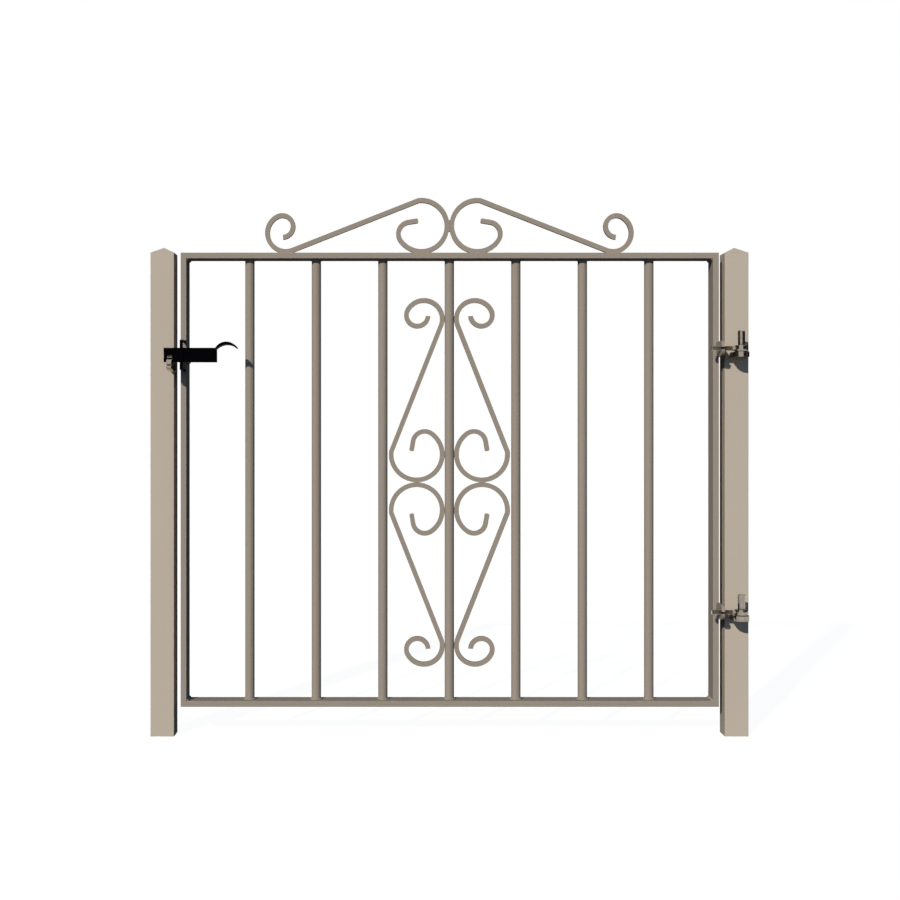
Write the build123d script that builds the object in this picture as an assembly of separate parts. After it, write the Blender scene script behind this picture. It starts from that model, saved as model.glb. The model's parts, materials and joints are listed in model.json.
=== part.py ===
"""A metal garden gate: one leaf with scrollwork, two posts, two adjustable hinges and a latch.

Millimetres. X runs to the right, Y away from the viewer and Z up. The origin is the middle of
the hinge post's foot. The leaf is shut, and its front is flush with the fronts of the posts.
"""
from build123d import *
from math import asin, atan2, cos, degrees, hypot, radians, sin, tan
import os

# Driving dimensions of the leaf
leaf_width = 910.0
leaf_height = 768.0
ground_gap = 50.0
frame_depth = 40.0
frame_thickness = 10.0
frame_edge_radius = 1.0
bar_count = 7
bar_diameter = 16.0

# Driving dimensions of the posts
post_width = 40.0
post_wall = 3.0
post_edge_radius = 1.0
cap_setback = 0.4
cap_rise = 10.0
cap_wall = 2.5
cap_tip_width = 2.0
hinge_side_gap = 10.0
latch_side_gap = 11.0

# Driving dimensions of a scroll, along the middle of its square bar
scroll_bar = 8.0
scroll_straight = 230.6
scroll_kink_deg = 15.2
scroll_bay_gap = 2.25
large_curl_turn_deg = 241.0
large_eye_radius = 20.0
large_eye_turn_deg = 116.0
large_end_length = 17.0
small_curl_radius = 31.3
small_curl_turn_deg = 173.0
small_eye_radius = 18.5
small_eye_turn_deg = 204.0
scroll_end_chamfer = 1.5
scroll_meet_drop = 5.0

# Driving dimensions of the two hinges
hinge_inset = 164.0
pin_reach = 34.0
pin_diameter = 12.0
pin_top_above_rod = 30.0
pin_chamfer = 1.5
eye_outer_diameter = 22.0
eye_height = 10.5
rod_diameter = 8.0
rod_tail = 15.0
tongue_thickness = 8.7
tongue_margin = 7.0
lug_thickness = 5.0
lug_nose_radius = 12.5
lug_slit = 4.0

# Driving dimensions of the latch
latch_drop = 175.0
arm_reach = 30.5
arm_length = 88.0
arm_height = 24.0
arm_thickness = 5.0
arm_overhang = 23.0
arm_lift_deg = 11.0
pivot_inset = 7.0
pivot_diameter = 8.0
pivot_head_diameter = 13.0
pivot_head_thickness = 1.5
grip_chord = 35.0
grip_top_rise = 9.5
grip_middle_thickness = 5.2
grip_root_thickness = 4.0
grip_tip_thickness = 2.2
grip_width = 18.0
carrier_thickness = 5.0
carrier_seat = 16.0
guide_width = 5.2
guide_inset = 0.6
guide_thickness = 2.0
guide_room_below = 10.7
guide_gap_above = 0.5
guide_front_gap = 1.5
catch_thickness = 8.2
catch_overhang = 3.0
catch_foot_drop = 20.0
catch_lip_rise = 12.2
catch_lip_thickness = 1.5
catch_ramp_drop = 15.0
catch_ramp_crown = 2.0
catch_nose_reach = 18.0
catch_nose_height = 4.0
catch_chin_reach = 10.0
catch_chin_drop = 4.0

# Named clearances
weld_gap = 0.1
fit_gap = 0.06
seat_gap = 0.3
thread_gap = 0.25
side_gap = 0.5
notch_side_gap = 0.8

# How far a cutting shape runs past the piece that it cuts
cut_over = 1.0

# Levels and planes that follow from the sizes above
leaf_bottom = ground_gap
leaf_top = leaf_bottom + leaf_height
post_height = leaf_top
front_y = -post_width / 2
leaf_middle_y = front_y + frame_depth / 2
leaf_right = -post_width / 2 - hinge_side_gap
leaf_left = leaf_right - leaf_width
leaf_middle_x = (leaf_left + leaf_right) / 2
bay_width = (leaf_width - 2 * frame_thickness - bar_count * bar_diameter) / (bar_count + 1)
large_curl_radius = (bay_width - scroll_bay_gap - scroll_bar) / 2
infill_scroll_meet_z = leaf_bottom + leaf_height / 2 - scroll_meet_drop
latch_post_x = leaf_left - latch_side_gap - post_width / 2
pin_y = front_y - pin_reach
latch_height = leaf_top - latch_drop
arm_back_y = front_y - arm_reach
arm_front_y = arm_back_y - arm_thickness
arm_left = leaf_left - arm_overhang
arm_right = arm_left + arm_length
arm_bottom = latch_height - arm_height / 2
arm_top = latch_height + arm_height / 2
pivot_x = arm_right - pivot_inset
hinge_levels = {"upper": leaf_top - hinge_inset, "lower": leaf_bottom + hinge_inset}
nodes = {}


def block(x0, x1, y0, y1, z0, z1):
    """A box between two corners."""
    return Pos((x0 + x1) / 2, (y0 + y1) / 2, (z0 + z1) / 2) * Box(x1 - x0, y1 - y0, z1 - z0)


def polygon(plane, points):
    """A flat face with straight sides on a plane."""
    return make_face(plane * Polyline(*points, close=True))


def upright_rod(x, y, z0, z1, diameter):
    """A round rod that stands along Z."""
    return Pos(x, y, (z0 + z1) / 2) * Cylinder(diameter / 2, z1 - z0)


def rod_along_x(x0, x1, y, z, diameter):
    """A round rod that lies along X."""
    return Pos((x0 + x1) / 2, y, z) * Rot(0, 90, 0) * Cylinder(diameter / 2, x1 - x0)


def rod_along_y(x, y0, y1, z, diameter):
    """A round rod that lies along Y."""
    return Pos(x, (y0 + y1) / 2, z) * Rot(90, 0, 0) * Cylinder(diameter / 2, y1 - y0)


def post(x):
    """A square tube with eased corners that stands on its open foot."""
    inner = post_width - 2 * post_wall
    tube = RectangleRounded(post_width, post_width, post_edge_radius) - Rectangle(inner, inner)
    return extrude(Pos(x, 0, 0) * tube, amount=post_height)


def pyramid(base_width, z0):
    """A low pyramid with a small flat tip."""
    slope = degrees(atan2((base_width - cap_tip_width) / 2, cap_rise))
    return extrude(Pos(0, 0, z0) * Rectangle(base_width, base_width), amount=cap_rise, taper=slope)


def post_cap(x):
    """A pressed pyramid cap that closes a post's top."""
    z0 = post_height + weld_gap
    width = post_width - 2 * cap_setback
    shell = pyramid(width, z0) - pyramid(width, z0 - cap_wall)
    return Pos(x, 0, 0) * shell


def in_leaf(plane_sketch, depth):
    """A shape drawn in X and Z, given a depth about the leaf's middle plane."""
    return Pos(0, leaf_middle_y, 0) * extrude(plane_sketch, amount=depth / 2, both=True)


def frame_side(bar, outer_corners, inner_corners):
    """A flat bar with eased edges, cut at 45 degrees at both ends to meet its neighbours."""
    mitred = polygon(Plane.XZ, [*outer_corners, *reversed(inner_corners)])
    return bar & in_leaf(mitred, 2 * frame_depth)


def rail(z_outer, z_inner):
    """A flat bar across the leaf."""
    section = RectangleRounded(frame_depth, frame_thickness, frame_edge_radius)
    place = Pos(leaf_middle_x, leaf_middle_y, (z_outer + z_inner) / 2)
    bar = place * extrude(Plane.YZ * section, amount=leaf_width / 2, both=True)
    outer = [(leaf_left, z_outer), (leaf_right, z_outer)]
    inner = [(leaf_left + frame_thickness, z_inner), (leaf_right - frame_thickness, z_inner)]
    return frame_side(bar, outer, inner)


def stile(x_outer, x_inner):
    """A flat bar up one side of the leaf."""
    section = RectangleRounded(frame_thickness, frame_depth, frame_edge_radius)
    place = Pos((x_outer + x_inner) / 2, leaf_middle_y, leaf_bottom)
    bar = place * extrude(section, amount=leaf_height)
    outer = [(x_outer, leaf_bottom), (x_outer, leaf_top)]
    inner = [(x_inner, leaf_bottom + frame_thickness), (x_inner, leaf_top - frame_thickness)]
    return frame_side(bar, outer, inner)


def bar_positions():
    """The X of each upright bar, with equal clear gaps between bars and stiles."""
    first = leaf_left + frame_thickness + bay_width + bar_diameter / 2
    return [first + i * (bay_width + bar_diameter) for i in range(bar_count)]


def infill_bar(x):
    """A round upright bar, butted between the rails."""
    z0 = leaf_bottom + frame_thickness
    z1 = leaf_top - frame_thickness
    return upright_rod(x, leaf_middle_y, z0, z1, bar_diameter)


def on_circle(centre, radius, angle_deg):
    """The point of a circle at an angle."""
    angle = radians(angle_deg)
    return (centre[0] + radius * cos(angle), centre[1] + radius * sin(angle))


def arc(centre, radius, start_deg, turn_deg):
    """An arc that runs clockwise from a start angle."""
    start = on_circle(centre, radius, start_deg)
    middle = on_circle(centre, radius, start_deg - turn_deg / 2)
    end = on_circle(centre, radius, start_deg - turn_deg)
    return ThreePointArc(start, middle, end)


def ribbon(centre, radius, start_deg, turn_deg):
    """The face that a bar covers as it runs round an arc."""
    half = scroll_bar / 2
    outer = arc(centre, radius + half, start_deg, turn_deg)
    inner = arc(centre, radius - half, start_deg, turn_deg)
    return make_face([outer, inner, Line(outer @ 0, inner @ 0), Line(outer @ 1, inner @ 1)])


def inner_centre(centre, radius, angle_deg, next_radius):
    """The centre of a tighter arc that carries on from a wider one at an angle."""
    return on_circle(centre, radius - next_radius, angle_deg)


def curl(centre, radius, start_deg, turn_deg, eye_radius, eye_turn_deg):
    """A curl of two arcs that run clockwise, the second one tighter, and the place where it ends."""
    join_deg = start_deg - turn_deg
    eye_centre = inner_centre(centre, radius, join_deg, eye_radius)
    wide = ribbon(centre, radius, start_deg, turn_deg)
    tight = ribbon(eye_centre, eye_radius, join_deg, eye_turn_deg)
    return wide + tight, eye_centre, join_deg - eye_turn_deg


def large_end(eye_centre, end_deg):
    """The straight bit that ends the large curl, eased at its corners."""
    half = scroll_bar / 2
    inner = (large_eye_radius - half, 0)
    outer = (large_eye_radius + half, 0)
    tip = -large_end_length
    outline = [
        inner,
        outer,
        (outer[0], tip + scroll_end_chamfer),
        (outer[0] - scroll_end_chamfer, tip),
        (inner[0] + scroll_end_chamfer, tip),
        (inner[0], tip + scroll_end_chamfer),
    ]
    return Pos(*eye_centre) * Rot(0, 0, end_deg) * polygon(Plane.XY, outline)


def large_circle_centre():
    """The centre of the large curl, seen from the start of the straight."""
    kink = radians(scroll_kink_deg)
    return (scroll_straight - large_curl_radius * sin(kink), -large_curl_radius * cos(kink))


def angle_on_large_circle(height, radius):
    """The angle, right of the top, at which a circle about the large curl's centre reaches a height."""
    return degrees(asin((height - large_circle_centre()[1]) / radius))


def straight_to_bend():
    """The straight of a scroll, up to the sharp bend where its sides meet those of the large curl."""
    half = scroll_bar / 2
    centre = large_circle_centre()
    inner_radius = large_curl_radius - half
    outer_radius = large_curl_radius + half
    outline = [
        (0, half),
        (0, -half),
        on_circle(centre, inner_radius, angle_on_large_circle(-half, inner_radius)),
        on_circle(centre, outer_radius, angle_on_large_circle(half, outer_radius)),
    ]
    return polygon(Plane.XY, outline)


def scroll_face():
    """One scroll, flat, with its straight along X from the origin."""
    small, _, _ = curl(
        (0, small_curl_radius),
        small_curl_radius,
        -90,
        small_curl_turn_deg,
        small_eye_radius,
        small_eye_turn_deg,
    )
    outer_radius = large_curl_radius + scroll_bar / 2
    start_deg = angle_on_large_circle(scroll_bar / 2, outer_radius)
    eye_start_deg = 90 - scroll_kink_deg - large_curl_turn_deg
    large, large_eye, large_end_deg = curl(
        large_circle_centre(),
        large_curl_radius,
        start_deg,
        start_deg - eye_start_deg,
        large_eye_radius,
        large_eye_turn_deg,
    )
    return small + straight_to_bend() + large + large_end(large_eye, large_end_deg)


def scroll_tilt_deg():
    """The tilt of the straight at which both curls rest on one line."""
    along = scroll_straight - large_curl_radius * sin(radians(scroll_kink_deg))
    across = small_curl_radius + large_curl_radius * cos(radians(scroll_kink_deg))
    step = large_curl_radius - small_curl_radius
    return degrees(atan2(across, along) + asin(step / hypot(along, across)))


def resting_scroll():
    """A scroll with both curls resting on Y 0 and its large curl touching X 0, body to the left."""
    tilt = scroll_tilt_deg()
    centre = large_circle_centre()
    reach = large_curl_radius + scroll_bar / 2
    turned_x = centre[0] * cos(radians(tilt)) - centre[1] * sin(radians(tilt))
    turned_y = centre[0] * sin(radians(tilt)) + centre[1] * cos(radians(tilt))
    return Pos(-reach - turned_x, reach - turned_y) * Rot(0, 0, tilt) * scroll_face()


def upright(face):
    """A flat shape, stood up in the leaf's middle plane with the scroll bar's depth."""
    return in_leaf(Plane.XZ * face, scroll_bar)


def add_scrolls():
    """Two scrolls on the top rail, and four in the leaf beside the middle bar."""
    face = resting_scroll()
    middle = Plane.YZ.offset(leaf_middle_x)
    on_rail = Pos(leaf_middle_x - weld_gap, 0, leaf_top + weld_gap) * upright(face)
    nodes["top_scroll_left"] = on_rail
    nodes["top_scroll_right"] = on_rail.mirror(middle)
    middle_bar_x = bar_positions()[bar_count // 2]
    bar_side = middle_bar_x - bar_diameter / 2
    low_place = Pos(bar_side - weld_gap, 0, infill_scroll_meet_z - weld_gap)
    low = low_place * upright(Rot(0, 0, 90) * face)
    high = low.mirror(Plane.XY.offset(infill_scroll_meet_z))
    nodes["lower_scroll_left"] = low
    beside_bar = Plane.YZ.offset(middle_bar_x)
    nodes["lower_scroll_right"] = low.mirror(beside_bar)
    nodes["upper_scroll_left"] = high
    nodes["upper_scroll_right"] = high.mirror(beside_bar)


def tongue(level):
    """A flat tongue on the post's front, round at its nose, that carries the pin."""
    top = level - eye_height / 2 - seat_gap
    half = pin_diameter / 2 + tongue_margin
    outline = Pos(0, (pin_y + front_y) / 2) * Rectangle(2 * half, front_y - pin_y)
    outline += Pos(0, pin_y) * Circle(half)
    outline -= Pos(0, pin_y) * Circle(pin_diameter / 2 + fit_gap)
    return extrude(Pos(0, 0, top - tongue_thickness) * outline, amount=tongue_thickness)


def hinge_pin(level):
    """The upright pin, set in the tongue, with an eased top."""
    z0 = level - eye_height / 2 - seat_gap - tongue_thickness
    pin = upright_rod(0, pin_y, z0, level + pin_top_above_rod, pin_diameter)
    return chamfer(pin.edges().sort_by(Axis.Z)[-1], pin_chamfer)


def eye_bolt(level):
    """An eye that turns on the pin, with a threaded rod that runs through the lug."""
    rod_end = leaf_right - lug_thickness - rod_tail
    eye = upright_rod(0, pin_y, level - eye_height / 2, level + eye_height / 2, eye_outer_diameter)
    body = eye + rod_along_x(rod_end, 0, pin_y, level, rod_diameter)
    bore = upright_rod(0, pin_y, level - eye_height, level + eye_height, pin_diameter + 2 * fit_gap)
    return body - bore


def hinge_lug(level):
    """An upright plate on the leaf's front, round at its nose, with a slit that lets it clamp the rod."""
    x1 = leaf_right
    x0 = x1 - lug_thickness
    plate = block(x0, x1, pin_y, front_y, level - lug_nose_radius, level + lug_nose_radius)
    plate += rod_along_x(x0, x1, pin_y, level, 2 * lug_nose_radius)
    cut_x0, cut_x1 = x0 - cut_over, x1 + cut_over
    nose_end = pin_y - lug_nose_radius - cut_over
    half_slit = lug_slit / 2
    slit = block(cut_x0, cut_x1, nose_end, pin_y, level - half_slit, level + half_slit)
    return plate - slit - rod_along_x(cut_x0, cut_x1, pin_y, level, rod_diameter + 2 * thread_gap)


def add_hinges():
    """The two hinges, each with its pieces on the post and on the leaf."""
    for where, level in hinge_levels.items():
        nodes[f"{where}_pin_bracket"] = tongue(level)
        nodes[f"{where}_hinge_pin"] = hinge_pin(level)
        nodes[f"{where}_eye_bolt"] = eye_bolt(level)
        nodes[f"{where}_hinge_lug"] = hinge_lug(level)


def finger_grip():
    """The arched strip at the arm's end that a finger lifts, thick in its middle and thin at its tip."""
    middle_x = arm_right + grip_chord / 2
    tip_x = arm_right + grip_chord
    crest = arm_top + grip_top_rise
    root = arm_top - grip_root_thickness
    upper = ThreePointArc((arm_right, arm_top), (middle_x, crest), (tip_x, arm_top))
    lower = ThreePointArc(
        (arm_right, root),
        (middle_x, crest - grip_middle_thickness),
        (tip_x, arm_top - grip_tip_thickness),
    )
    face = make_face([upper, lower, Line(upper @ 0, lower @ 0), Line(upper @ 1, lower @ 1)])
    return Pos(0, arm_back_y, 0) * extrude(Plane.XZ * face, amount=grip_width)


def pivot_hole(front, back):
    """The shape that cuts a running hole for the rivet through a piece."""
    diameter = pivot_diameter + 2 * fit_gap
    return rod_along_y(pivot_x, front - cut_over, back + cut_over, latch_height, diameter)


def latch_arm():
    """The flat arm with its finger grip and its pivot hole."""
    arm = block(arm_left, arm_right, arm_front_y, arm_back_y, arm_bottom, arm_top)
    return arm + finger_grip() - pivot_hole(arm_front_y, arm_back_y)


def carrier_front_y():
    """The front plane of the flat bar behind the arm."""
    return arm_back_y + side_gap


def latch_carrier():
    """A bent flat bar from the stile's inner side that carries the arm's pivot."""
    inner_x = leaf_left + frame_thickness + weld_gap
    front = carrier_front_y()
    back = front + carrier_thickness
    leg = block(inner_x, inner_x + carrier_thickness, front, front_y + carrier_seat, arm_bottom, arm_top)
    run = block(inner_x, arm_right, front, back, arm_bottom, arm_top)
    return leg + run - pivot_hole(front, back)


def latch_pivot():
    """The rivet that the arm turns on, with a low head at each end."""
    front = arm_front_y - fit_gap
    back = carrier_front_y() + carrier_thickness + fit_gap
    rivet = rod_along_y(pivot_x, front, back, latch_height, pivot_diameter)
    for y in (front - pivot_head_thickness, back):
        rivet += rod_along_y(pivot_x, y, y + pivot_head_thickness, latch_height, pivot_head_diameter)
    return rivet


def lifted_arm_top(x):
    """How high the arm's top edge stands at an X when the arm is fully lifted."""
    lift = radians(arm_lift_deg)
    return latch_height + (pivot_x - x) * tan(lift) + arm_height / 2 / cos(lift)


def latch_guide():
    """A staple on the stile's front that the arm moves in."""
    x1 = leaf_left + frame_thickness - guide_inset
    x0 = x1 - guide_width
    inner_front = arm_front_y - guide_front_gap
    outer_front = inner_front - guide_thickness
    z0 = arm_bottom - guide_room_below
    z1 = lifted_arm_top(x0) + guide_gap_above
    outer = block(x0, x1, outer_front, front_y, z0 - guide_thickness, z1 + guide_thickness)
    return outer - block(x0 - cut_over, x1 + cut_over, inner_front, front_y + cut_over, z0, z1)


def catch_ramp(top, bottom):
    """The crowned front of the catch, which lifts the arm as the leaf shuts."""
    middle = (Vector(*top) + Vector(*bottom)) / 2
    slope = Vector(*bottom) - Vector(*top)
    outward = Vector(slope.Y, -slope.X).normalized()
    return ThreePointArc(top, middle + outward * catch_ramp_crown, bottom)


def latch_catch():
    """A notched plate on the latch post. The arm drops in its notch, behind a lip with a ramp before it."""
    x1 = leaf_left - latch_side_gap + catch_overhang
    floor = arm_bottom - seat_gap
    lip = floor + catch_lip_rise
    notch_back = arm_back_y + notch_side_gap
    notch_front = arm_front_y - notch_side_gap
    ramp_top = (notch_front - catch_lip_thickness, lip)
    nose = (notch_front - catch_nose_reach, lip - catch_ramp_drop)
    nose_foot = (nose[0], nose[1] - catch_nose_height)
    under = [
        nose,
        nose_foot,
        (notch_front - catch_chin_reach, nose_foot[1] - catch_chin_drop),
        (front_y, floor - catch_foot_drop),
        (front_y, lip),
        (notch_back, lip),
        (notch_back, floor),
        (notch_front, floor),
        (notch_front, lip),
        ramp_top,
    ]
    face = make_face(Plane.YZ * Curve([Polyline(*under), catch_ramp(ramp_top, nose)]))
    return extrude(Pos(x1 - catch_thickness, 0, 0) * face, amount=catch_thickness)


def add_latch():
    """The latch, with its arm, pivot, carrier and guide on the leaf and its catch on the post."""
    nodes["latch_arm"] = latch_arm()
    nodes["latch_pivot"] = latch_pivot()
    nodes["latch_carrier"] = latch_carrier()
    nodes["latch_guide"] = latch_guide()
    nodes["latch_catch"] = latch_catch()


def add_posts():
    """The hinge post and the latch post, each with its cap."""
    for name, x in {"hinge_post": 0, "latch_post": latch_post_x}.items():
        nodes[name] = post(x)
        nodes[f"{name}_cap"] = post_cap(x)


def add_frame():
    """The leaf's frame and its upright bars."""
    nodes["top_rail"] = rail(leaf_top, leaf_top - frame_thickness)
    nodes["bottom_rail"] = rail(leaf_bottom, leaf_bottom + frame_thickness)
    nodes["latch_stile"] = stile(leaf_left, leaf_left + frame_thickness)
    nodes["hinge_stile"] = stile(leaf_right, leaf_right - frame_thickness)
    for number, x in enumerate(bar_positions(), 1):
        nodes[f"infill_bar_{number}"] = infill_bar(x)


add_posts()
add_frame()
add_scrolls()
add_hinges()
add_latch()

os.makedirs("parts", exist_ok=True)
for name, solid in nodes.items():
    export_step(solid, f"parts/{name}.step")
print(len(nodes), "nodes, scroll tilt", round(scroll_tilt_deg(), 2))
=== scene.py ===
"""Looks of a metal garden gate: paint, plating, welds, screw threads, floor, light and camera.

Metres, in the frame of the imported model: X to the right, Y away from the viewer, Z up.
"""
import bmesh
import bpy
import json
import random
from math import ceil, cos, pi, radians, sin, sqrt
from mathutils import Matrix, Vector


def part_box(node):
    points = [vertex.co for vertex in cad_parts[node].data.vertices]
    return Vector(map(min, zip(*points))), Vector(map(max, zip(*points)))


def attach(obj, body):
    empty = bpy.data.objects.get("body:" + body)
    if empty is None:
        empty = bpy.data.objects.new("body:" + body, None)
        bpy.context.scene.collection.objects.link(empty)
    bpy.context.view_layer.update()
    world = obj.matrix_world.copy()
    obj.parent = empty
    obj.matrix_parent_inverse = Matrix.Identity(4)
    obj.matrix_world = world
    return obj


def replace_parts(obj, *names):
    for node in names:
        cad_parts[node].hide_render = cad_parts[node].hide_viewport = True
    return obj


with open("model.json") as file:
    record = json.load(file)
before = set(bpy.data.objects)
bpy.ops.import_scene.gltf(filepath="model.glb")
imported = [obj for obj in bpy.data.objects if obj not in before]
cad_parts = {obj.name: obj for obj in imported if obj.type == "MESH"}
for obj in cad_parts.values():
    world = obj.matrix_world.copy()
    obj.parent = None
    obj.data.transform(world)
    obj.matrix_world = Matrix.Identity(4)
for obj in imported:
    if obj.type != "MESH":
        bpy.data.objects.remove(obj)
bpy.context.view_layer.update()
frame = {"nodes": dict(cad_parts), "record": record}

X, Y, Z = Vector((1, 0, 0)), Vector((0, 1, 0)), Vector((0, 0, 1))
mm = 0.001
random_seed = 7

# Colours, written as sRGB steps from 0 to 255
post_colour = (184, 170, 155)
leaf_colour = (149, 137, 125)
primer_colour = (196, 186, 174)
dust_colour = (168, 158, 146)
zinc_colour = (166, 158, 146)
# Dull stain on the zinc, also used as painted shade in its corners
zinc_stain_and_shade_colour = (108, 100, 90)
# Near-black, painted shade for the zinc's deep creases and grooves
painted_shade_colour = (18, 15, 13)
black_colour = (3, 3, 5)
black_rub_colour = (22, 21, 21)

# Noise: its usual spread, which is stretched to a range, and its detail
noise_low = 0.3
noise_high = 0.7
noise_detail = 3.0
fine_detail = 2.0

# Looking up creases and sharp edges, and the shader's usual specular level
lookup_samples = 6
sharp_edge_cosine = 0.8
plain_specular = 0.5

# Paint: noise scales in repeats per metre, and the ranges that they vary over
paint_mottle_scale = 7.0
paint_mottle = (0.972, 1.028)
paint_mottle_stretch = (1.0, 1.0, 0.35)
paint_speckle_scale = 1400.0
paint_speckle = (0.975, 1.025)
paint_dust_reach = 6 * mm
paint_dust_creases = (0.75, 0.35)
paint_dust_most = 0.35
paint_dust_scale = 220.0
paint_worn_radius = 0.7 * mm
paint_worn_scale = 300.0
paint_worn_patches = (0.52, 0.68)
paint_worn_most = 0.55
paint_roughness_scale = 90.0
paint_roughness = (0.58, 0.68)
paint_peel_scale = 620.0
paint_peel_detail = 1.5
paint_peel_height = 0.12 * mm
paint_peel_strength = 0.35
paint_specular = 0.0

# Zinc plate
zinc_patch_scale = 420.0
zinc_patches = (0.90, 1.08)
zinc_streak_scale = 2200.0
zinc_streaks = (0.82, 1.12)
zinc_streak_stretch = (1.0, 1.0, 0.03)
# Darker in corners, in patches: partly dull stains, partly painted shade
zinc_stain_and_shade_reach = 5 * mm
zinc_stain_and_shade_creases = (0.9, 0.4)
zinc_stain_and_shade = (0.15, 0.85)
zinc_stain_and_shade_scale = 140.0
zinc_stain_and_shade_patches = (0.35, 0.6)
zinc_stain_and_shade_patch = (0.3, 1.0)
# Near-black painted shade in the zinc's deep creases and grooves
zinc_painted_shade_reach = 8 * mm
zinc_painted_shade_creases = (0.55, 0.32)
zinc_roughness_scale = 260.0
zinc_roughness = (0.14, 0.24)
zinc_scratch_height = 0.04 * mm
zinc_scratch_strength = 0.4

# Black paint
black_worn_radius = 0.8 * mm
black_worn_scale = 380.0
black_worn_patches = (0.45, 0.65)
black_worn_most = 0.8
black_mottle_scale = 60.0
black_mottle = (0.8, 1.2)
black_roughness_scale = 180.0
black_roughness = (0.44, 0.58)
black_texture_scale = 900.0
black_texture_height = 0.08 * mm
black_texture_strength = 0.4
black_specular = 0.015

# Reach of a scroll's two curls, to the outside of the bar
large_curl_reach = 47.5 * mm
small_curl_reach = 35.3 * mm
scroll_half_depth = 4 * mm

# Weld beads
bar_bead_radius = 1.7 * mm
corner_bead_radius = 2.2 * mm
scroll_bead_radius = 1.6 * mm
short_tack = 9 * mm
long_tack = 20 * mm
tack_sink = 0.75
root_bead_radius = 1.3 * mm
thin_bead_radius = 1.3 * mm
carrier_bead_start = 2 * mm
bead_step = 0.45 * mm
bead_pitch = 1.9 * mm
bead_ripple = 0.09
bead_jitter = 0.02
ring_jitter = 0.015
bead_sides = 12
bead_bury = 0.35
bead_blunt_end = 0.02

# Screw threads and eyes
thread_pitch = 1.25 * mm
thread_depth = 0.7 * mm
thread_samples = 8
thread_sides = 36
thread_root_share = 0.12
thread_flank_share = 0.76
thread_tip = 1.2 * mm
plain_neck = 5 * mm
rod_radius = 4 * mm
rod_start_in_eye = 1.5 * mm
bore_gap = 0.06 * mm
pin_radius = 6 * mm
eye_edge = 0.9 * mm
eye_edge_share = 0.3
lathe_sides = 72

# The latch's rivet. Its dome is a list of places along the head, each with its share of the radius.
rivet_shank_radius = 4 * mm
rivet_head = 1.5 * mm
rivet_dome = [(0.0, 0.12), (0.04, 0.42), (0.22, 0.72), (0.52, 0.92), (1.0, 1.0)]

# The catch's profile, from its lip and its nose
catch_lip_back = 16.5 * mm
catch_lip = 1.5 * mm
catch_notch = 6.6 * mm
catch_notch_depth = 12.2 * mm
catch_ramp_height = 15.0 * mm
catch_crown = 1.6 * mm
catch_nose_height = 3.2 * mm
catch_chin_back = 8.0 * mm
catch_chin_drop = 24.0 * mm
catch_foot_rise = 5.0 * mm
catch_faces = (5.2 * mm, 7.8 * mm)
catch_face_parts = 4
groove_height = 3.0 * mm
groove_depth = 5.5 * mm
catch_ease = 0.35 * mm
catch_ease_parts = 2
same_place = 1e-6

# Past this share of Z, a direction counts as upright
upright_share = 0.9

# Faces that meet at a sharper angle than this keep a crisp edge
crisp_deg = 40.0

# The camera, found from the photograph's vanishing point and the post sizes
camera_place = Vector((-0.5742, -2.512, 0.508))
camera_lens = 58.98
camera_sensor = 36.0
camera_shift = (0.0589, -0.0156)
camera_pitch_deg = 90.0

# The light: a warm key from the upper left front, a weak light from the left, a bluish fill from the front,
# a level light on the back and a dim bluish surround
key_direction = Vector((0.44, 1.0, -0.55))
key_strength = 3.33
key_colour = (1.0, 0.967, 0.888)
key_angle_deg = 2.0
side_direction = Vector((1.0, 0.25, -0.55))
side_strength = 0.30
side_colour = (0.90, 0.96, 1.0)
side_angle_deg = 40.0
fill_direction = Vector((0.1, 1.0, 0.0))
fill_strength = 0.578
fill_colour = (0.41, 0.60, 1.0)
fill_angle_deg = 60.0
back_direction = Vector((0.0, -1.0, 0.0))
back_strength = 2.9
back_colour = (1.0, 0.96, 0.90)
back_angle_deg = 2.0
surround_colour = (0.050, 0.110, 0.160)
floor_size = 60.0
floor_own_colour = (0.12, 0.12, 0.125)
floor_seen_strength = 0.95
white = (1.0, 1.0, 1.0)

# Glowing cards that paint dark and brownish reflections on the metal and are seen by nothing else: bearings
# from -Y towards +X about the origin, and a colour
card_centre = Vector((0.0, 0.0, 0.0))
card_distance = 6.0
card_height = 4.0
painted_reflection_cards = {
    "card_right": (16.0, 52.0, (0.004, 0.003, 0.002)),
    "card_far_right": (52.0, 104.0, (0.085, 0.062, 0.050)),
    "card_back": (104.0, 218.0, (0.010, 0.010, 0.010)),
    "card_left": (-142.0, -52.0, (0.075, 0.056, 0.047)),
}
card_step_deg = 6.0

# sRGB to linear values
srgb_steps = 255
srgb_toe = 0.04045
srgb_toe_slope = 12.92
srgb_offset = 0.055
srgb_power = 2.4


def linear(colour):
    """A colour written in sRGB steps, as linear values."""
    values = []
    for step in colour:
        v = step / srgb_steps
        if v <= srgb_toe:
            values.append(v / srgb_toe_slope)
        else:
            values.append(((v + srgb_offset) / (1 + srgb_offset)) ** srgb_power)
    return (*values, 1.0)


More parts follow.
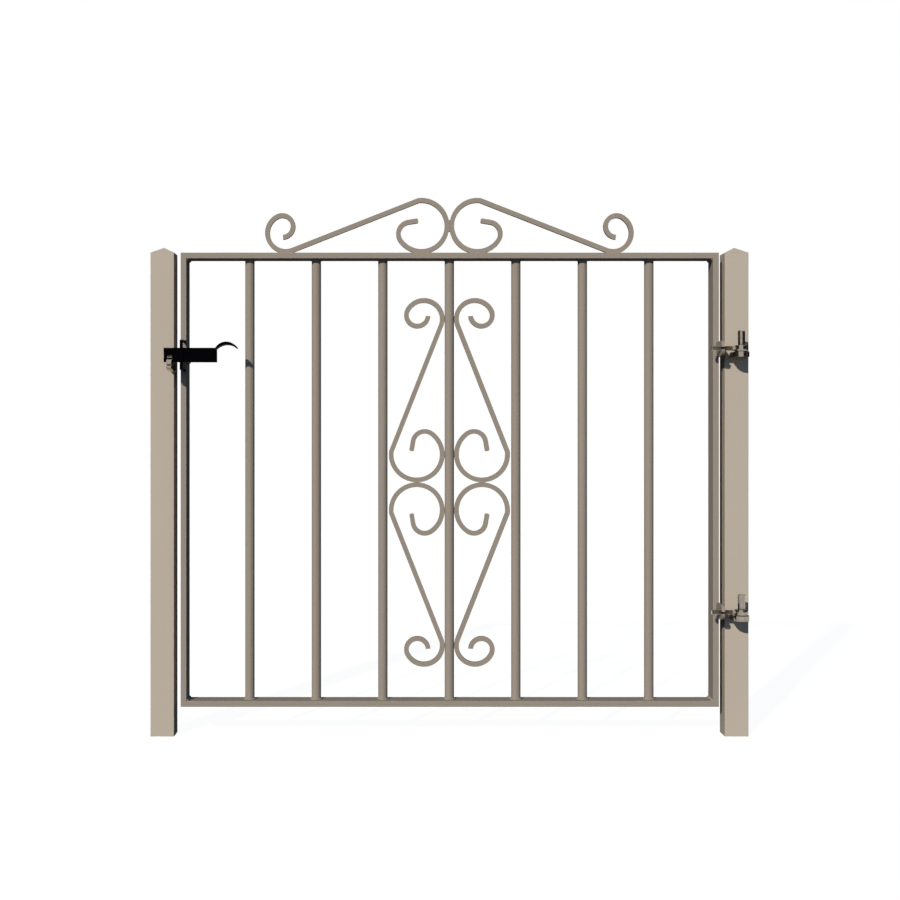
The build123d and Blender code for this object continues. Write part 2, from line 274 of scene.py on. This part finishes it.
class Nodes:
    """Short names for building one material's nodes."""

    def __init__(self, name):
        self.material = bpy.data.materials.new(name)
        self.tree = blank_tree(self.material)
        self.output = self.add("ShaderNodeOutputMaterial")
        self.place = self.add("ShaderNodeTexCoord").outputs["Object"]

    def add(self, kind, **settings):
        node = self.tree.nodes.new(kind)
        for key, value in settings.items():
            setattr(node, key, value)
        return node

    def link(self, source, target):
        self.tree.links.new(source, target)

    def noise(self, scale, detail=noise_detail, stretch=None):
        """Noise from 0 to 1, with the scale in repeats per metre."""
        node = self.add("ShaderNodeTexNoise")
        node.inputs["Scale"].default_value = scale
        node.inputs["Detail"].default_value = detail
        self.link(self.stretched(stretch), node.inputs["Vector"])
        return node.outputs["Fac"]

    def stretched(self, stretch):
        """The place on the object, squeezed along each axis by a factor."""
        if stretch is None:
            return self.place
        node = self.add("ShaderNodeVectorMath", operation="MULTIPLY")
        node.inputs[1].default_value = stretch
        self.link(self.place, node.inputs[0])
        return node.outputs["Vector"]

    def remap(self, value, source, target):
        """A value moved from one range to another, and held inside it."""
        node = self.add("ShaderNodeMapRange")
        sockets = ("From Min", "From Max", "To Min", "To Max")
        for name, number in zip(sockets, (*source, *target)):
            node.inputs[name].default_value = number
        self.link(value, node.inputs["Value"])
        return node.outputs["Result"]

    def spread(self, value, target):
        """Noise spread over a range."""
        return self.remap(value, (noise_low, noise_high), target)

    def multiply(self, a, b):
        node = self.add("ShaderNodeMath", operation="MULTIPLY")
        self.link(a, node.inputs[0])
        self.link(b, node.inputs[1])
        return node.outputs["Value"]

    def mix(self, factor, a, b):
        """One colour blended into another. Either is a link or a colour as linear values."""
        node = self.add("ShaderNodeMix", data_type="RGBA")
        self.link(factor, node.inputs["Factor"])
        for socket, value in ((node.inputs["A"], a), (node.inputs["B"], b)):
            if isinstance(value, tuple):
                socket.default_value = value
            else:
                self.link(value, socket)
        return node.outputs["Result"]

    def colour(self, colour):
        """A plain colour, as a link."""
        node = self.add("ShaderNodeRGB")
        node.outputs["Color"].default_value = colour
        return node.outputs["Color"]

    def shade(self, colour, factor):
        """A colour made lighter or darker by a factor."""
        node = self.add("ShaderNodeVectorMath", operation="SCALE")
        self.link(colour, node.inputs[0])
        self.link(factor, node.inputs["Scale"])
        return node.outputs["Vector"]

    def creases(self, reach):
        """From 0 in deep corners to 1 in the open."""
        node = self.add("ShaderNodeAmbientOcclusion", samples=lookup_samples, only_local=False)
        node.inputs["Distance"].default_value = reach
        return node.outputs["AO"]

    def edges(self, radius):
        """From 0 on flat ground to 1 on a sharp edge."""
        bevel = self.add("ShaderNodeBevel", samples=lookup_samples)
        bevel.inputs["Radius"].default_value = radius
        flat = self.add("ShaderNodeNewGeometry").outputs["Normal"]
        node = self.add("ShaderNodeVectorMath", operation="DOT_PRODUCT")
        self.link(bevel.outputs["Normal"], node.inputs[0])
        self.link(flat, node.inputs[1])
        return self.remap(node.outputs["Value"], (1.0, sharp_edge_cosine), (0.0, 1.0))

    def bump(self, height, distance, strength):
        node = self.add("ShaderNodeBump")
        node.inputs["Distance"].default_value = distance
        node.inputs["Strength"].default_value = strength
        self.link(height, node.inputs["Height"])
        return node.outputs["Normal"]

    def finish(self, colour, roughness, normal, metallic=0.0, specular=plain_specular):
        shader = self.add("ShaderNodeBsdfPrincipled")
        shader.inputs["Metallic"].default_value = metallic
        shader.inputs["Specular IOR Level"].default_value = specular
        self.link(colour, shader.inputs["Base Color"])
        self.link(roughness, shader.inputs["Roughness"])
        self.link(normal, shader.inputs["Normal"])
        self.link(shader.outputs["BSDF"], self.output.inputs["Surface"])
        return self.material


def blank_tree(holder):
    """The node tree of a material or of a world, emptied."""
    holder.use_nodes = True
    holder.node_tree.nodes.clear()
    return holder.node_tree


def painted_steel(name, colour):
    """Powder coat: fine orange peel, faint mottling, dust in corners and rubbed edges."""
    n = Nodes(name)
    mottle = n.spread(n.noise(paint_mottle_scale, stretch=paint_mottle_stretch), paint_mottle)
    speckle = n.spread(n.noise(paint_speckle_scale, fine_detail), paint_speckle)
    paint = n.shade(n.colour(linear(colour)), n.multiply(mottle, speckle))
    corners = n.remap(n.creases(paint_dust_reach), paint_dust_creases, (0.0, paint_dust_most))
    paint = n.mix(n.multiply(corners, n.noise(paint_dust_scale)), paint, linear(dust_colour))
    patches = n.remap(n.noise(paint_worn_scale), paint_worn_patches, (0.0, paint_worn_most))
    paint = n.mix(n.multiply(n.edges(paint_worn_radius), patches), paint, linear(primer_colour))
    roughness = n.spread(n.noise(paint_roughness_scale), paint_roughness)
    peel = n.bump(n.noise(paint_peel_scale, paint_peel_detail), paint_peel_height, paint_peel_strength)
    return n.finish(paint, roughness, peel, specular=paint_specular)


def zinc_plate(name, stretch):
    """Bright zinc: crystal patches and drawn streaks, dull stains that double as painted shade in corners,
    and near-black painted shade in deep creases.
    """
    n = Nodes(name)
    crystals = n.add("ShaderNodeTexVoronoi")
    crystals.inputs["Scale"].default_value = zinc_patch_scale
    n.link(n.place, crystals.inputs["Vector"])
    patch = n.remap(crystals.outputs["Color"], (0.0, 1.0), zinc_patches)
    streaks = n.noise(zinc_streak_scale, fine_detail, stretch)
    streak = n.spread(streaks, zinc_streaks)
    # Darker in corners, in patches: partly dull stains, partly painted shade
    corners = n.remap(n.creases(zinc_stain_and_shade_reach), zinc_stain_and_shade_creases, zinc_stain_and_shade)
    patches = n.remap(n.noise(zinc_stain_and_shade_scale), zinc_stain_and_shade_patches, zinc_stain_and_shade_patch)
    metal = n.mix(n.multiply(corners, patches), linear(zinc_colour), linear(zinc_stain_and_shade_colour))
    # Near-black painted shade, strongest in deep creases and grooves
    painted_shade = n.remap(n.creases(zinc_painted_shade_reach), zinc_painted_shade_creases, (0.0, 1.0))
    metal = n.mix(painted_shade, metal, linear(painted_shade_colour))
    metal = n.shade(metal, n.multiply(patch, streak))
    roughness = n.spread(n.noise(zinc_roughness_scale), zinc_roughness)
    scratches = n.bump(streaks, zinc_scratch_height, zinc_scratch_strength)
    return n.finish(metal, roughness, scratches, metallic=1.0)


def black_paint(name):
    """Satin black paint: brushed-on texture and edges rubbed by use."""
    n = Nodes(name)
    patches = n.remap(n.noise(black_worn_scale), black_worn_patches, (0.0, black_worn_most))
    worn = n.multiply(n.edges(black_worn_radius), patches)
    paint = n.mix(worn, linear(black_colour), linear(black_rub_colour))
    paint = n.shade(paint, n.spread(n.noise(black_mottle_scale), black_mottle))
    roughness = n.spread(n.noise(black_roughness_scale), black_roughness)
    texture = n.bump(n.noise(black_texture_scale, fine_detail), black_texture_height, black_texture_strength)
    return n.finish(paint, roughness, texture, specular=black_specular)


class Shells:
    """Closed shells that become one piece."""

    def __init__(self):
        self.mesh = bmesh.new()

    def loft(self, rings, closed=False):
        """A shell through rings of points, capped at both ends or joined into a loop."""
        loops = [[self.mesh.verts.new(p) for p in ring] for ring in rings]
        count = len(loops[0])
        pairs = list(zip(loops, loops[1:]))
        if closed:
            pairs.append((loops[-1], loops[0]))
        for near, far in pairs:
            for i in range(count):
                j = (i + 1) % count
                self.mesh.faces.new((near[i], near[j], far[j], far[i]))
        if not closed:
            self.mesh.faces.new(loops[0])
            self.mesh.faces.new(loops[-1])

    def finish(self, name, body, slot, sharp_deg=crisp_deg):
        """The piece, with its finish, riding on its body."""
        bmesh.ops.recalc_face_normals(self.mesh, faces=self.mesh.faces)
        data = bpy.data.meshes.new(name)
        self.mesh.to_mesh(data)
        self.mesh.free()
        data.shade_smooth()
        data.set_sharp_from_angle(angle=radians(sharp_deg))
        piece = bpy.data.objects.new(name, data)
        bpy.context.scene.collection.objects.link(piece)
        data.materials.append(materials[slot])
        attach(piece, body)
        return piece


def across(direction):
    """Two directions at right angles to a direction and to each other."""
    first = direction.cross(Z if abs(direction.z) < upright_share else X).normalized()
    return first, direction.cross(first).normalized()


def circle(centre, radius, u, v, sides):
    """A ring of points."""
    turns = [2 * pi * i / sides for i in range(sides)]
    return [centre + u * (radius * cos(t)) + v * (radius * sin(t)) for t in turns]


def straight_bead(shells, start, end, radius):
    """A rippled weld bead between two points, with rounded ends."""
    direction = (end - start).normalized()
    length = (end - start).length
    u, v = across(direction)
    steps = ceil(length / bead_step)
    phase = random.uniform(0, 2 * pi)
    rings = []
    for i in range(steps + 1):
        along = length * i / steps
        to_end = min(along, length - along)
        rounding = sqrt(max(bead_blunt_end, 1 - max(0.0, 1 - to_end / radius) ** 2))
        wave = bead_ripple * sin(2 * pi * along / bead_pitch + phase)
        ripple = 1 + wave + random.uniform(-bead_jitter, bead_jitter)
        rings.append(circle(start + direction * along, radius * rounding * ripple, u, v, bead_sides))
    shells.loft(rings)


def ring_bead(shells, centre, up, ring_radius, radius):
    """A rippled weld bead round the foot of a bar, on the side that up points to."""
    around = 2 * pi * ring_radius
    steps = ceil(around / bead_step)
    ripples = round(around / bead_pitch)
    rings = []
    for i in range(steps):
        turn = 2 * pi * i / steps
        outward = X * cos(turn) + Y * sin(turn)
        middle = centre + outward * (ring_radius + bead_bury * radius) + up * (bead_bury * radius)
        ripple = 1 + bead_ripple * sin(ripples * turn) + random.uniform(-ring_jitter, ring_jitter)
        rings.append(circle(middle, radius * ripple, outward, up, bead_sides))
    shells.loft(rings, closed=True)


def lathe(shells, profile, origin, axis, sides, closed=False):
    """A turned shape. The profile is a list of places along the axis, each with its radius."""
    u, v = across(axis)
    rings = [circle(origin + axis * along, radius, u, v, sides) for along, radius in profile]
    shells.loft(rings, closed)


def thread_radius(along, turn, major, length):
    """The radius of a screw thread at a place along it and at an angle, eased at its tip."""
    saw = (along / thread_pitch + turn / (2 * pi)) % 1.0
    wave = min(1.0, max(0.0, (abs(2 * saw - 1) - thread_root_share) / thread_flank_share))
    lead = min(1.0, max(0.0, (along - plain_neck) / thread_pitch))
    tip = max(0.0, 1 - (length - along) / thread_tip)
    return major - thread_depth * max(wave * lead, tip)


def threaded_rod(shells, start, length, radius):
    """A rod that runs towards -X, plain at first and then with a thread."""
    steps = ceil(length / thread_pitch * thread_samples)
    rings = []
    for i in range(steps + 1):
        along = length * i / steps
        centre = start - X * along
        ring = []
        for j in range(thread_sides):
            turn = 2 * pi * j / thread_sides
            r = thread_radius(along, turn, radius, length)
            ring.append(centre + Y * (r * cos(turn)) + Z * (r * sin(turn)))
        rings.append(ring)
    shells.loft(rings)


def eye_bolt(where):
    """An eye with eased rims, and the threaded rod that it carries."""
    node = f"{where}_eye_bolt"
    low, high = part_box(node)
    centre = Vector((0.0, (low.y + high.y) / 2, (low.z + high.z) / 2))
    outer = high.x
    half = (high.z - low.z) / 2
    bore = pin_radius + bore_gap
    rim = eye_edge * eye_edge_share
    profile = [
        (-half + rim, bore),
        (-half, bore + rim),
        (-half, outer - eye_edge),
        (-half + rim, outer - rim),
        (-half + eye_edge, outer),
        (half - eye_edge, outer),
        (half - rim, outer - rim),
        (half, outer - eye_edge),
        (half, bore + rim),
        (half - rim, bore),
    ]
    shells = Shells()
    lathe(shells, profile, centre, Z, lathe_sides, closed=True)
    start = centre - X * (outer - rod_start_in_eye)
    threaded_rod(shells, start, start.x - low.x, rod_radius)
    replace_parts(shells.finish(f"{node}_threaded", "leaf", "zinc"), node)


def rivet():
    """The latch's pivot, with domed heads."""
    low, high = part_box("latch_pivot")
    head_radius = (high.x - low.x) / 2
    length = high.y - low.y
    front = [(rivet_head * along, head_radius * radius) for along, radius in rivet_dome]
    shank = [(rivet_head, rivet_shank_radius), (length - rivet_head, rivet_shank_radius)]
    back = [(length - along, radius) for along, radius in reversed(front)]
    shells = Shells()
    origin = Vector(((low.x + high.x) / 2, low.y, (low.z + high.z) / 2))
    lathe(shells, front + shank + back, origin, Y, lathe_sides)
    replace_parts(shells.finish("latch_rivet_domed", "leaf", "black"), "latch_pivot")


def catch_ramp_y(nose_y, drop):
    """Where the ramp's front lies at a drop below the lip."""
    part = min(1.0, drop / catch_ramp_height)
    return nose_y + catch_lip_back * (1 - part) - catch_crown * sin(pi * part)


def catch_outline(low, high):
    """The catch from the side, as Y and Z, with two grooves across its ramp."""
    lip_front = low.y + catch_lip_back
    notch_front = lip_front + catch_lip
    notch_back = notch_front + catch_notch
    notch_floor = high.z - catch_notch_depth
    points = [
        (low.y + catch_chin_back, high.z - catch_chin_drop),
        (high.y, low.z + catch_foot_rise),
        (high.y, high.z),
        (notch_back, high.z),
        (notch_back, notch_floor),
        (notch_front, notch_floor),
        (notch_front, high.z),
    ]
    z = high.z
    for face_height in catch_faces:
        for part in range(catch_face_parts + 1):
            drop = high.z - z + face_height * part / catch_face_parts
            points.append((catch_ramp_y(low.y, drop), high.z - drop))
        z -= face_height
        points.append((catch_ramp_y(low.y, high.z - z) + groove_depth, z))
        z -= groove_height
        points.append((catch_ramp_y(low.y, high.z - z) + groove_depth, z))
    points.append((catch_ramp_y(low.y, high.z - z), z))
    points.append((low.y, z - catch_nose_height))
    return points


def catch():
    """The latch's catch, with grooves across its ramp and eased edges."""
    low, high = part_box("latch_catch")
    shells = Shells()
    mesh = shells.mesh
    near = [mesh.verts.new((low.x, y, z)) for y, z in catch_outline(low, high)]
    face = mesh.faces.new(near)
    grown = bmesh.ops.extrude_face_region(mesh, geom=[face])["geom"]
    for item in grown:
        if isinstance(item, bmesh.types.BMVert):
            item.co.x = high.x
    bmesh.ops.recalc_face_normals(mesh, faces=mesh.faces)
    rims = [edge for edge in mesh.edges if abs(edge.verts[0].co.x - edge.verts[1].co.x) < same_place]
    easing = {"offset": catch_ease, "segments": catch_ease_parts, "affect": "EDGES", "clamp_overlap": True}
    bmesh.ops.bevel(mesh, geom=rims, **easing)
    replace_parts(shells.finish("latch_catch_grooved", "posts", "zinc", 30.0), "latch_catch")


def bar_end_welds():
    """A bead round each end of each upright bar."""
    shells = Shells()
    for name in frame["nodes"]:
        if name.startswith("infill_bar_"):
            low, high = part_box(name)
            middle = (low + high) / 2
            radius = (high.x - low.x) / 2
            ring_bead(shells, Vector((middle.x, middle.y, low.z)), Z, radius, bar_bead_radius)
            ring_bead(shells, Vector((middle.x, middle.y, high.z)), -Z, radius, bar_bead_radius)
    shells.finish("bar_end_welds", "leaf", "leaf_paint")


def frame_corner_welds():
    """A bead in each inner corner of the leaf's frame."""
    bottom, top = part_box("bottom_rail"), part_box("top_rail")
    left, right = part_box("latch_stile"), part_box("hinge_stile")
    half_depth = (top[1].y - top[0].y) / 2 - corner_bead_radius
    middle_y = (top[1].y + top[0].y) / 2
    inset = bead_bury * corner_bead_radius
    shells = Shells()
    for x in (left[1].x + inset, right[0].x - inset):
        for z in (bottom[1].z + inset, top[0].z - inset):
            start = Vector((x, middle_y - half_depth, z))
            straight_bead(shells, start, start + Y * (2 * half_depth), corner_bead_radius)
    shells.finish("frame_corner_welds", "leaf", "leaf_paint")


def tack(shells, point, along, side, length):
    """A short bead, almost flush, on the front or the back of a scroll where it touches its neighbour."""
    middle = point + Y * (side * (scroll_half_depth - tack_sink * scroll_bead_radius))
    half = along * (length / 2)
    straight_bead(shells, middle - half, middle + half, scroll_bead_radius)


def tack_both_faces(shells, point, along, length):
    """A tack on the front and one on the back."""
    tack(shells, point, along, -1, length)
    tack(shells, point, along, 1, length)


def top_scroll_tacks(shells, side, sign):
    """Tacks where a top scroll's curls stand on the rail."""
    low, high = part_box(f"top_scroll_{side}")
    middle_y = (low.y + high.y) / 2
    inner_x, outer_x = (high.x, low.x) if sign > 0 else (low.x, high.x)
    for x in (inner_x - sign * large_curl_reach, outer_x + sign * small_curl_reach):
        tack_both_faces(shells, Vector((x, middle_y, low.z)), X, short_tack)


def infill_scroll_tacks(shells, level, up, side, sign):
    """Tacks behind the middle bar, and where an upper and a lower scroll meet."""
    low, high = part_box(f"{level}_scroll_{side}")
    middle_y = (low.y + high.y) / 2
    bar_x = high.x if sign > 0 else low.x
    meet_z, far_z = (high.z, low.z) if up > 0 else (low.z, high.z)
    for z in (meet_z - up * large_curl_reach, far_z + up * small_curl_reach):
        tack(shells, Vector((bar_x, middle_y, z)), Z, 1, short_tack)
    if level == "lower":
        meeting = Vector((bar_x - sign * large_curl_reach, middle_y, meet_z))
        tack_both_faces(shells, meeting, X, short_tack)


def scroll_welds():
    """Beads where each scroll touches the rail, the middle bar or its mirror twin."""
    shells = Shells()
    for side, sign in (("left", 1), ("right", -1)):
        top_scroll_tacks(shells, side, sign)
        infill_scroll_tacks(shells, "lower", 1, side, sign)
        infill_scroll_tacks(shells, "upper", -1, side, sign)
    low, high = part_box("top_scroll_left")
    twin = Vector((high.x, (low.y + high.y) / 2, low.z + large_curl_reach))
    tack_both_faces(shells, twin, Z, long_tack)
    shells.finish("scroll_welds", "leaf", "leaf_paint")


def root_welds(shells, node, face_y, radius, sides):
    """Beads along the named sides of the root of a plate that stands on a front face."""
    low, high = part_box(node)
    inset = bead_bury * radius
    y = face_y - inset
    if "above" in sides:
        z = high.z + inset
        straight_bead(shells, Vector((low.x, y, z)), Vector((high.x, y, z)), radius)
    if "below" in sides:
        z = low.z - inset
        straight_bead(shells, Vector((low.x, y, z)), Vector((high.x, y, z)), radius)
    if "left" in sides:
        x = low.x - inset
        straight_bead(shells, Vector((x, y, low.z)), Vector((x, y, high.z)), radius)
    if "right" in sides:
        x = high.x + inset
        straight_bead(shells, Vector((x, y, low.z)), Vector((x, y, high.z)), radius)


def hardware_welds():
    """Beads that hold the hinges and the latch to the posts and the leaf."""
    front_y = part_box("hinge_post")[0].y
    on_posts = Shells()
    for where in ("upper", "lower"):
        all_round = ("above", "below", "left", "right")
        root_welds(on_posts, f"{where}_pin_bracket", front_y, root_bead_radius, all_round)
    root_welds(on_posts, "latch_catch", front_y, root_bead_radius, ("above",))
    on_posts.finish("post_hardware_welds", "posts", "post_paint")
    on_leaf = Shells()
    for where in ("upper", "lower"):
        root_welds(on_leaf, f"{where}_hinge_lug", front_y, root_bead_radius, ("above", "below", "left"))
    on_leaf.finish("leaf_lug_welds", "leaf", "leaf_paint")
    on_latch = Shells()
    root_welds(on_latch, "latch_guide", front_y, thin_bead_radius, ("above", "below"))
    low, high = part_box("latch_carrier")
    x = low.x + bead_bury * thin_bead_radius
    for z in (low.z, high.z):
        start = Vector((x, front_y + carrier_bead_start, z))
        straight_bead(on_latch, start, Vector((x, high.y, z)), thin_bead_radius)
    on_latch.finish("latch_welds", "leaf", "black")


def dress_cad():
    """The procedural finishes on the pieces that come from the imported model."""
    for part in frame["record"]["subparts"]:
        node = frame["nodes"][part["node"]]
        for slot in node.material_slots:
            slot.material = materials[part["material_slot"]]


def see_or_light(tree, seen, lighting):
    """A shader that the camera and reflections see, and another that lights the object."""
    path = tree.nodes.new("ShaderNodeLightPath")
    total = path.outputs["Is Camera Ray"]
    for name in ("Is Glossy Ray", "Is Transmission Ray"):
        larger = tree.nodes.new("ShaderNodeMath")
        larger.operation = "MAXIMUM"
        tree.links.new(total, larger.inputs[0])
        tree.links.new(path.outputs[name], larger.inputs[1])
        total = larger.outputs["Value"]
    mix = tree.nodes.new("ShaderNodeMixShader")
    tree.links.new(total, mix.inputs["Fac"])
    tree.links.new(lighting, mix.inputs[1])
    tree.links.new(seen, mix.inputs[2])
    return mix.outputs["Shader"]


def add_surround():
    """A white backdrop to the eye, and a dim bluish light on the object."""
    world = bpy.data.worlds.new("surround")
    bpy.context.scene.world = world
    tree = blank_tree(world)
    output = tree.nodes.new("ShaderNodeOutputWorld")
    shaders = []
    for colour in (white, surround_colour):
        background = tree.nodes.new("ShaderNodeBackground")
        background.inputs["Color"].default_value = (*colour, 1.0)
        shaders.append(background.outputs["Background"])
    tree.links.new(see_or_light(tree, *shaders), output.inputs["Surface"])


def linked_mesh(name, points, faces, material):
    """A mesh object of one material, linked to the scene."""
    data = bpy.data.meshes.new(name)
    data.from_pydata(points, [], faces)
    data.materials.append(material)
    piece = bpy.data.objects.new(name, data)
    bpy.context.scene.collection.objects.link(piece)
    return piece


def add_floor():
    """A pale floor that keeps the object's shadow."""
    material = bpy.data.materials.new("floor")
    tree = blank_tree(material)
    output = tree.nodes.new("ShaderNodeOutputMaterial")
    diffuse = tree.nodes.new("ShaderNodeBsdfDiffuse")
    diffuse.inputs["Color"].default_value = (*floor_own_colour, 1.0)
    glow = tree.nodes.new("ShaderNodeEmission")
    glow.inputs["Strength"].default_value = floor_seen_strength
    both = tree.nodes.new("ShaderNodeAddShader")
    tree.links.new(diffuse.outputs["BSDF"], both.inputs[0])
    tree.links.new(glow.outputs["Emission"], both.inputs[1])
    shader = see_or_light(tree, both.outputs["Shader"], diffuse.outputs["BSDF"])
    tree.links.new(shader, output.inputs["Surface"])
    half = floor_size / 2
    corners = [(-half, -half, 0), (half, -half, 0), (half, half, 0), (-half, half, 0)]
    floor = linked_mesh("floor", corners, [(0, 1, 2, 3)], material)


def add_painted_reflection_card(name, from_deg, to_deg, colour):
    """A tall curved glowing card round the gate, seen by reflections alone: a painted reflection."""
    material = bpy.data.materials.new(name)
    tree = blank_tree(material)
    glow = tree.nodes.new("ShaderNodeEmission")
    glow.inputs["Color"].default_value = (*colour, 1.0)
    output = tree.nodes.new("ShaderNodeOutputMaterial")
    tree.links.new(glow.outputs["Emission"], output.inputs["Surface"])
    steps = ceil((to_deg - from_deg) / card_step_deg)
    bearings = [radians(from_deg + (to_deg - from_deg) * i / steps) for i in range(steps + 1)]
    places = [card_centre + X * (card_distance * sin(b)) - Y * (card_distance * cos(b)) for b in bearings]
    points = [p + Z * height for p in places for height in (0.0, card_height)]
    faces = [(2 * i, 2 * i + 2, 2 * i + 3, 2 * i + 1) for i in range(steps)]
    card = linked_mesh(name, points, faces, material)
    card.visible_camera = False
    card.visible_diffuse = False
    card.visible_transmission = False
    card.visible_shadow = False


def add_sun(name, direction, strength, colour, angle_deg):
    """Light from far away along a direction."""
    data = bpy.data.lights.new(name, "SUN")
    data.energy = strength
    data.color = colour
    data.angle = radians(angle_deg)
    lamp = bpy.data.objects.new(name, data)
    lamp.rotation_mode = "QUATERNION"
    lamp.rotation_quaternion = direction.to_track_quat("-Z", "Y")
    lamp.visible_glossy = False
    bpy.context.scene.collection.objects.link(lamp)


def add_camera():
    """The camera, level and square on to the gate."""
    data = bpy.data.cameras.new("camera")
    data.lens = camera_lens
    data.sensor_width = camera_sensor
    data.shift_x, data.shift_y = camera_shift
    camera = bpy.data.objects.new("camera", data)
    camera.location = camera_place
    camera.rotation_euler = (radians(camera_pitch_deg), 0, 0)
    bpy.context.scene.collection.objects.link(camera)
    bpy.context.scene.camera = camera


random.seed(random_seed)
materials = {
    "post_paint": painted_steel("post_paint", post_colour),
    "leaf_paint": painted_steel("leaf_paint", leaf_colour),
    "zinc": zinc_plate("zinc", zinc_streak_stretch),
    "black": black_paint("black"),
}
dress_cad()
bar_end_welds()
frame_corner_welds()
scroll_welds()
hardware_welds()
for where in ("upper", "lower"):
    eye_bolt(where)
rivet()
catch()
add_surround()
add_floor()
for name, (from_deg, to_deg, colour) in painted_reflection_cards.items():
    add_painted_reflection_card(name, from_deg, to_deg, colour)
add_sun("key", key_direction, key_strength, key_colour, key_angle_deg)
add_sun("side", side_direction, side_strength, side_colour, side_angle_deg)
add_sun("fill", fill_direction, fill_strength, fill_colour, fill_angle_deg)
add_sun("back", back_direction, back_strength, back_colour, back_angle_deg)
add_camera()
bpy.context.scene.view_settings.view_transform = "Standard"
